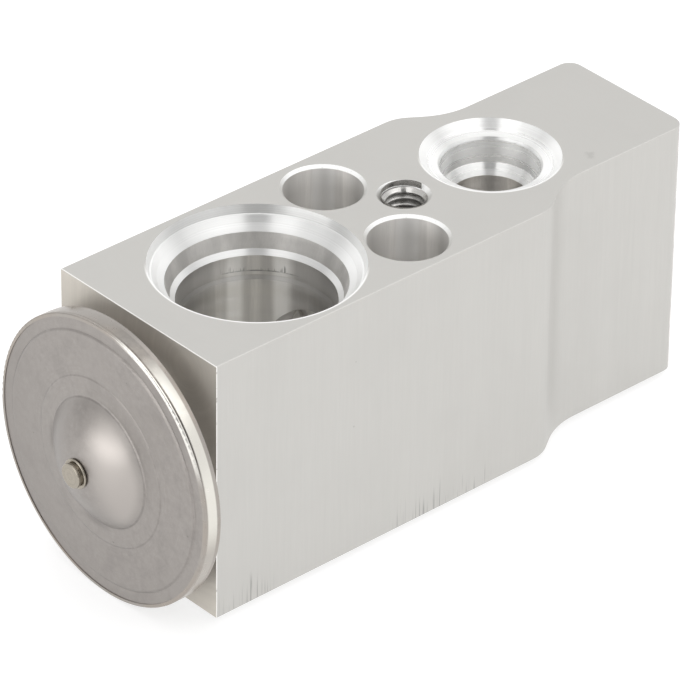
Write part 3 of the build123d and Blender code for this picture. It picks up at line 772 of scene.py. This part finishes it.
def pressed_cover(name, colour, place, outside=False):
    """Rolled and pressed stainless sheet: faint rings about the valve axis, specks and scuffs.

    The outside of the head also has painted highlight and shade.
    """
    material, tree, centred = start_material(name, place, ALONG_X)
    flat = level(tree, centred)
    rings = effect(tree, turning_marks, {"Vector": flat, "Fineness": 2.2, "Wobble": 0.8})
    stains = effect(tree, handling_stains, {"Vector": centred, "Size": 8.0})
    drawn = stretched(tree, centred, (1.0, 0.6, 1.0))
    pits = effect(tree, pits_and_specks, {"Vector": drawn, "Spacing": 2.8, "Size": 0.15})
    mottle = remap(tree, noise(tree, centred, 1.1, 4.0, 0.75), 0.3, 0.7)
    shade = blend_colour(tree, rings.outputs["Lines"], rgba(colour, 0.94), rgba(colour, 1.06))
    shade = blend_colour(tree, product(tree, mottle, 0.9), shade, rgba(colour, 0.84))
    shade = blend_colour(tree, product(tree, stains.outputs["Mask"], 0.5), shade, rgba(colour, 0.94))
    shade = blend_colour(tree, product(tree, pits.outputs["Mask"], 0.5), shade, rgba(colour, 0.45))
    patches = remap(tree, noise(tree, flat, 0.22, 3.0, 0.6), 0.5, 0.66, smooth=True)
    drags = product(tree, patches, rings.outputs["Lines"])
    shade = blend_colour(tree, product(tree, drags, 0.7), shade, rgba(colour, 0.74))
    if outside:
        shade = head_light_and_shade(tree, centred, flat, shade, colour)
    gloss = remap(tree, stains.outputs["Grain"], 0.0, 1.0, 0.36, 0.43)
    height = math_node(tree, "SUBTRACT", rings.outputs["Lines"], product(tree, pits.outputs["Mask"], 2.0))
    return finish_material(material, tree, shade, gloss, height, 0.0015)


def head_light_and_shade(tree, centred, flat, shade, colour):
    """Painted highlight on the dome's right; painted shade on its left, the cover's left, two spots and the
    creases.
    """
    across = vector_math(tree, "DOT_PRODUCT", centred, DOME_HIGHLIGHT_SIDE)
    radius = vector_math(tree, "LENGTH", flat)
    dome = remap(tree, radius, 9.2, 7.6, smooth=True)
    # Painted highlight on the dome's right, and painted shade on its left and on the cover's left
    dome_highlight = product(tree, dome, remap(tree, across, 0.5, 5.5, smooth=True))
    dome_shade = product(tree, dome, remap(tree, across, -0.5, -5.5, smooth=True))
    left_shade = remap(tree, across, -5.0, -19.0, 0.0, 0.5, smooth=True)
    shade = blend_colour(tree, dome_highlight, shade, rgba(colour, 1.24))
    shade = blend_colour(tree, dome_shade, shade, rgba(colour, 0.82))
    shade = blend_colour(tree, left_shade, shade, rgba(colour, 0.8))
    # Spots of painted shade by the dome's foot
    for spot, size in SHADE_SPOTS:
        arm = vector_math(tree, "SUBTRACT", flat, spot)
        reach = vector_math(tree, "LENGTH", stretched(tree, arm, size))
        shade_spot = remap(tree, reach, 1.0, 0.1, 0.0, 0.6, smooth=True)
        shade = blend_colour(tree, shade_spot, shade, rgba(colour, 0.6))
    # Painted shade in the creases
    broken = remap(tree, noise(tree, centred, 0.8, 2.0, 0.6), 0.35, 0.6, 0.35, 1.0)
    for crease, strength in CREASES:
        line = window(tree, radius, crease - 0.04, crease + 0.04, 0.14)
        shade = blend_colour(tree, product(tree, line, broken, strength), shade, rgba(colour, 0.4))
    return shade


def sector(tree, centred, direction, start, full):
    """1 where the rim lies in a direction, falling to 0 round it."""
    return remap(tree, vector_math(tree, "DOT_PRODUCT", centred, direction), start, full, smooth=True)


def rim_bead(name, colour):
    """Weld bead: fine ripples, painted highlights on its lip, crown and low side, painted shade in its groove
    and a band.
    """
    material, tree, centred = start_material(name, (0, 0, AXIS_Z), ALONG_X)
    axes = add(tree, "ShaderNodeSeparateXYZ", {0: centred})
    along = axes.outputs[2]
    angle = math_node(tree, "ARCTAN2", axes.outputs[1], axes.outputs[0])
    ripple = add(tree, "ShaderNodeCombineXYZ", {0: product(tree, angle, 22.0), 1: 0.0, 2: along})
    streaks = noise(tree, ripple.outputs[0], 1.1, 3.0, 0.6)
    warm = noise(tree, centred, 0.12, 2.0)
    tint = (colour[0] * 1.02, colour[1] * 0.985, colour[2] * 0.95)
    shade = blend_colour(tree, remap(tree, warm, 0.4, 0.6, smooth=True), rgba(colour), rgba(tint))
    shade = blend_colour(tree, remap(tree, streaks, 0.56, 0.75, 0.0, 0.2), shade, rgba(colour, 0.55))
    # On the lit upper right of the rim: painted shade flecked into the groove and a painted highlight on the
    # lip
    lit_side = sector(tree, centred, *RIM_LIT_SIDE)
    groove = product(tree, window(tree, along, BEAD_GROOVE - 0.05, BEAD_GROOVE + 0.05, 0.08), lit_side)
    groove_shade = product(tree, groove, remap(tree, streaks, 0.4, 0.55, 0.2, 0.75))
    shade = blend_colour(tree, groove_shade, shade, rgba(colour, 0.3))
    lip_highlight = product(tree, window(tree, along, BEAD_FRONT, BEAD_FRONT + 0.22, 0.06), lit_side)
    lip_highlight = product(tree, lip_highlight, remap(tree, streaks, 0.3, 0.45, 0.5, 1.0))
    shade = blend_colour(tree, lip_highlight, shade, LIP_HIGHLIGHT)
    # Behind the groove: a band of painted shade high on the rim, and painted highlights on its right and lower
    # right
    behind = window(tree, along, BEAD_GROOVE + 0.2, BEAD_GROOVE + 1.4, 0.2)
    shade_band = product(tree, behind, sector(tree, centred, *RIM_SHADE_BAND))
    shade_band = product(tree, shade_band, remap(tree, streaks, 0.35, 0.6, 0.45, 0.7))
    shade = blend_colour(tree, shade_band, shade, rgba(colour, 0.6))
    crown_highlight = product(tree, behind, sector(tree, centred, *RIM_CROWN_HIGHLIGHT), 0.75)
    shade = blend_colour(tree, crown_highlight, shade, CROWN_HIGHLIGHT)
    low = product(tree, behind, sector(tree, centred, *RIM_LOW_HIGHLIGHT), 0.2)
    shade = blend_colour(tree, low, shade, CROWN_HIGHLIGHT)
    gloss = remap(tree, streaks, 0.3, 0.7, 0.26, 0.36)
    return finish_material(material, tree, shade, gloss, streaks, 0.004)


def moulded(name, colour, rough):
    """Rubber or plastic: a fine matt skin with faint specks."""
    material, tree, centred = start_material(name)
    stains = effect(tree, handling_stains, {"Vector": centred, "Size": 4.0})
    shade = blend_colour(tree, stains.outputs["Grain"], rgba(colour, 0.85), rgba(colour, 1.1))
    gloss = remap(tree, stains.outputs["Mask"], 0.0, 1.0, rough - 0.06, rough + 0.06)
    return finish_material(material, tree, shade, gloss, stains.outputs["Grain"], 0.006, metallic=0.0)


def dress(node, material):
    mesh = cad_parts[node].data
    mesh.materials.clear()
    mesh.materials.append(material)
    for face in mesh.polygons:
        face.material_index = 0


class OBJECT_OT_valve_head_finish(Operator):
    """Finishes the stainless head, its weld and its charge plug"""

    bl_idname = "object.valve_head_finish"
    bl_label = "Head finish"

    def execute(self, context):
        colours = context.scene.valve_finish
        axis = (0, 0, AXIS_Z)
        dress("upper_cover", pressed_cover("upper_cover_stainless", colours.cover_colour, axis, outside=True))
        dress("lower_cover", pressed_cover("lower_cover_stainless", colours.cover_colour, axis))
        dress("rim_weld", rim_bead("rim_weld_bead", colours.weld_colour))
        plug = turned("charge_plug_nickel", colours.plug_colour, axis, ALONG_X, 0.2, 0.1, 0.008, 5.0)
        dress("charge_plug", plug)
        dress("threaded_neck", turned("neck_turned_steel", colours.steel_colour, axis, ALONG_X, 0.3))
        dress("diaphragm", pressed_cover("diaphragm_sheet", colours.steel_colour, axis))
        dress("head_seal", moulded("head_seal_rubber", colours.rubber_colour, 0.5))
        return {"FINISHED"}


class OBJECT_OT_valve_train_finish(Operator):
    """Finishes the moving train, the seals and the adjusting screw"""

    bl_idname = "object.valve_train_finish"
    bl_label = "Moving train finish"

    def execute(self, context):
        colours = context.scene.valve_finish
        axis = (0, 0, AXIS_Z)
        steel = colours.steel_colour
        dress("diaphragm_stop", turned("stop_turned", colours.turned_colour, axis, ALONG_X, 0.25))
        dress("sensing_rod", turned("sensing_rod_turned", colours.turned_colour, axis, ALONG_X, 0.22))
        dress("sensing_sleeve", moulded("sleeve_moulded", colours.plastic_colour, 0.42))
        dress("rod_seal", moulded("rod_seal_rubber", colours.rubber_colour, 0.5))
        # The retainer's pale colour paints light into the shade of its pocket
        dress("seal_retainer", moulded("retainer_sheet", (0.8, 0.78, 0.74), 0.5))
        dress("push_rod", drilled("push_rod_ground", steel, axis, ALONG_X, 0.2, 0.003, 0.85))
        dress("valve_ball", turned("ball_polished", steel, axis, ALONG_X, 0.1, 0.04, 0.001))
        dress("ball_carrier", turned("carrier_turned", steel, axis, ALONG_X, 0.28))
        dress("damper_clip", pressed_cover("clip_sheet", steel, axis))
        dress("superheat_spring", drilled("spring_wire", steel, axis, ALONG_X, 0.3, 0.004, 0.8))
        dress("adjusting_screw", turned("adjusting_screw_brass", colours.brass_colour, axis, ALONG_X, 0.24))
        dress("adjuster_seal", moulded("adjuster_seal_rubber", colours.rubber_colour, 0.5))
        return {"FINISHED"}


# The thread in the tapped hole


def select_only(piece):
    bpy.ops.object.select_all(action="DESELECT")
    piece.select_set(True)
    bpy.context.view_layer.objects.active = piece


class OBJECT_OT_valve_tapped_thread(Operator):
    """Winds the helical ridge of the thread into the tapped hole"""

    bl_idname = "object.valve_tapped_thread"
    bl_label = "Tapped thread"

    def execute(self, context):
        thread = context.scene.valve_thread
        bpy.ops.object.select_all(action="DESELECT")
        bpy.ops.mesh.primitive_plane_add(size=1.0, location=(0.0, 0.0, 0.0))
        ridge = context.object
        ridge.name = ridge.data.name = "tapped_thread"
        rooted = thread.root_radius * 1.015
        corners = [
            (rooted, -thread.pitch * 0.46),
            (rooted, thread.pitch * 0.46),
            (thread.crest_radius, -thread.pitch * 0.08),
            (thread.crest_radius, thread.pitch * 0.08),
        ]
        for vertex, (radius, height) in zip(ridge.data.vertices, corners):
            vertex.co = (radius, 0.0, height)
        turns = int(thread.depth / thread.pitch)
        screw = ridge.modifiers.new("wind", "SCREW")
        screw.axis = "Z"
        screw.angle = 2 * math.pi
        screw.screw_offset = -thread.pitch
        screw.iterations = turns
        screw.steps = screw.render_steps = thread.steps
        screw.use_merge_vertices = False
        select_only(ridge)
        bpy.ops.object.modifier_apply(modifier="wind")
        bpy.ops.object.mode_set(mode="EDIT")
        bpy.ops.mesh.select_all(action="SELECT")
        bpy.ops.mesh.remove_doubles(threshold=1e-7)
        bpy.ops.mesh.select_all(action="DESELECT")
        bpy.ops.mesh.select_non_manifold()
        bpy.ops.mesh.edge_face_add()
        bpy.ops.mesh.select_all(action="SELECT")
        bpy.ops.mesh.normals_make_consistent(inside=False)
        bpy.ops.object.mode_set(mode="OBJECT")
        centre = Vector((TAPPED_X * MM, 0.0, BLOCK_TOP * MM))
        for vertex in ridge.data.vertices:
            x, y, z = vertex.co
            radius = math.hypot(x, y)
            countersink = COUNTERSINK * MM + z
            wanted = max(radius, min(countersink, rooted))
            vertex.co = Vector((x * wanted / radius, y * wanted / radius, z)) + centre
        bpy.ops.object.shade_smooth_by_angle(angle=math.radians(40.0))
        steel = context.scene.valve_finish.steel_colour
        ridge.data.materials.append(
            turned("tapped_thread_metal", steel, (TAPPED_X, 0, 0), ALONG_Z, 0.2, 0.1, metallic=0.75)
        )
        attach(ridge, "valve_body")
        return {"FINISHED"}


# Floor, lights and camera


class OBJECT_OT_valve_stage(Operator):
    """Lays the pale floor, hangs the soft lights and sets up the camera"""

    bl_idname = "object.valve_stage"
    bl_label = "Stage"

    def execute(self, context):
        stage = context.scene.valve_stage
        bpy.ops.object.select_all(action="DESELECT")
        bpy.ops.mesh.primitive_plane_add(size=stage.floor_size, location=(0.0, 0.0, cad_box[0].z))
        floor = context.object
        floor.name = "floor"
        material, tree, centred = start_material("pale_floor")
        grain = noise(tree, centred, 0.02, 2.0)
        shade = blend_colour(tree, grain, rgba(stage.floor_colour, 0.98), rgba(stage.floor_colour))
        glow = {"Emission_Color": (1.0, 1.0, 1.0, 1.0), "Emission_Strength": stage.floor_glow}
        floor.data.materials.append(finish_material(material, tree, shade, 0.6, metallic=0.0, **glow))

        azimuth, elevation = stage.camera_azimuth, stage.camera_elevation
        sight = Vector(
            (
                math.sin(azimuth) * math.cos(elevation),
                math.cos(azimuth) * math.cos(elevation),
                -math.sin(elevation),
            )
        )
        self.light_tent(context, sight)
        aim = Vector(stage.camera_aim)
        self.soft_light(context, "top_light", Vector((0.1, 0.1, 1.2)), 1.4, stage.top_power)

        turn = sight.to_track_quat("-Z", "Y").to_matrix() @ Matrix.Rotation(stage.camera_roll, 3, "Z")
        bpy.ops.object.camera_add(location=aim - sight * stage.camera_distance, rotation=turn.to_euler())
        camera = context.object
        camera.name = "camera"
        camera.data.lens = stage.camera_lens
        camera.data.sensor_width = 36.0
        camera.data.clip_start = 0.01
        camera.data.clip_end = 100.0
        context.scene.camera = camera
        context.scene.view_settings.view_transform = "Standard"
        return {"FINISHED"}

    def light_tent(self, context, sight):
        """White surroundings: a darker room low behind the camera, a window low on its left, and soft boxes
        above both sides of it, with a dark gap between them."""
        stage = context.scene.valve_stage
        world = bpy.data.worlds.new("light_tent")
        world.use_nodes = True
        tree = world.node_tree
        tree.nodes.clear()
        direction = add(tree, "ShaderNodeTexCoord").outputs["Generated"]
        height = add(tree, "ShaderNodeSeparateXYZ", {0: direction}).outputs[2]
        bearing = vector_math(tree, "NORMALIZE", level(tree, direction))
        towards = Vector((-sight.x, -sight.y, 0.0)).normalized()
        right = Vector((-towards.y, towards.x, 0.0))
        near = vector_math(tree, "DOT_PRODUCT", bearing, towards)
        side = vector_math(tree, "DOT_PRODUCT", bearing, right)
        light = remap(tree, side, -0.7, 0.7, stage.left_level, stage.right_level, smooth=True)
        behind = remap(tree, near, -0.2, -0.7, smooth=True)
        backdrop = product(tree, behind, remap(tree, height, 0.62, 0.38, smooth=True))
        light = blend_value(tree, backdrop, light, stage.back_level)
        low = remap(tree, height, 0.4, 0.25, smooth=True)
        room = product(tree, low, remap(tree, near, 0.7, 0.9, smooth=True))
        light = blend_value(tree, room, light, stage.front_level)
        window_bearing = Matrix.Rotation(math.radians(WINDOW_BEARING), 3, "Z") @ towards
        aside = vector_math(tree, "DOT_PRODUCT", bearing, window_bearing)
        pane = remap(tree, aside, 0.86, 0.96, smooth=True)
        pane = product(tree, pane, remap(tree, height, 0.36, 0.24, smooth=True))
        light = blend_value(tree, pane, light, stage.window_level)
        light = blend_value(tree, remap(tree, height, 0.45, 0.7, smooth=True), light, stage.roof_level)
        left_reach, right_reach = (math.cos(math.radians(angle)) for angle in BOX_REACH)
        gap_inside, gap_outside = (math.cos(math.radians(angle)) for angle in GAP_EDGE)
        outer = remap(tree, side, -0.1, 0.1, left_reach, right_reach)
        within = remap(tree, math_node(tree, "SUBTRACT", near, outer), -0.04, 0.0, smooth=True)
        beside = product(tree, within, remap(tree, near, gap_inside, gap_outside, smooth=True))
        boxes = product(tree, beside, window(tree, height, 0.6, 0.92, 0.05))
        box_level = remap(tree, side, -0.1, 0.1, stage.left_box_level, stage.right_box_level)
        light = blend_value(tree, boxes, light, box_level)
        facing = remap(tree, near, gap_outside, gap_inside, smooth=True)
        gap = product(tree, facing, window(tree, height, 0.36, 0.94, 0.05))
        light = blend_value(tree, gap, light, stage.gap_level)
        background = add(tree, "ShaderNodeBackground", {"Color": (1.0, 1.0, 1.0, 1.0), "Strength": light})
        out = add(tree, "ShaderNodeOutputWorld")
        tree.links.new(background.outputs[0], out.inputs[0])
        context.scene.world = world

    def soft_light(self, context, name, place, size, power):
        """A square area light that faces the valve."""
        facing = (-place).to_track_quat("-Z", "Y").to_euler()
        bpy.ops.object.light_add(type="AREA", location=place, rotation=facing)
        lamp = context.object
        lamp.name = name
        lamp.data.shape = "SQUARE"
        lamp.data.size = size
        lamp.data.energy = power


class VIEW3D_PT_valve(Panel):
    """Lists the steps that dress the valve"""

    bl_idname = "VIEW3D_PT_valve"
    bl_label = "Expansion valve"
    bl_space_type = "VIEW_3D"
    bl_region_type = "UI"
    bl_category = "Valve"

    def draw(self, context):
        for step in STEPS:
            self.layout.operator(step.bl_idname)
        for settings in (context.scene.valve_stage, context.scene.valve_finish, context.scene.valve_thread):
            box = self.layout.box()
            for name in settings.__annotations__:
                box.prop(settings, name)


STEPS = (
    OBJECT_OT_valve_stage,
    OBJECT_OT_valve_block_finish,
    OBJECT_OT_valve_head_finish,
    OBJECT_OT_valve_train_finish,
    OBJECT_OT_valve_tapped_thread,
)
SETTINGS = (ValveStageSettings, ValveFinishSettings, ValveThreadSettings)
SCENE_PROPERTIES = ("valve_stage", "valve_finish", "valve_thread")


def register():
    for kind in SETTINGS + STEPS + (VIEW3D_PT_valve,):
        bpy.utils.register_class(kind)
    for name, kind in zip(SCENE_PROPERTIES, SETTINGS):
        setattr(bpy.types.Scene, name, PointerProperty(type=kind))


def unregister():
    for name in SCENE_PROPERTIES:
        delattr(bpy.types.Scene, name)
    for kind in reversed(SETTINGS + STEPS + (VIEW3D_PT_valve,)):
        bpy.utils.unregister_class(kind)


def main():
    register()
    bpy.ops.object.valve_stage()
    bpy.ops.object.valve_block_finish()
    bpy.ops.object.valve_head_finish()
    bpy.ops.object.valve_train_finish()
    bpy.ops.object.valve_tapped_thread()


if __name__ == "__main__":
    main()
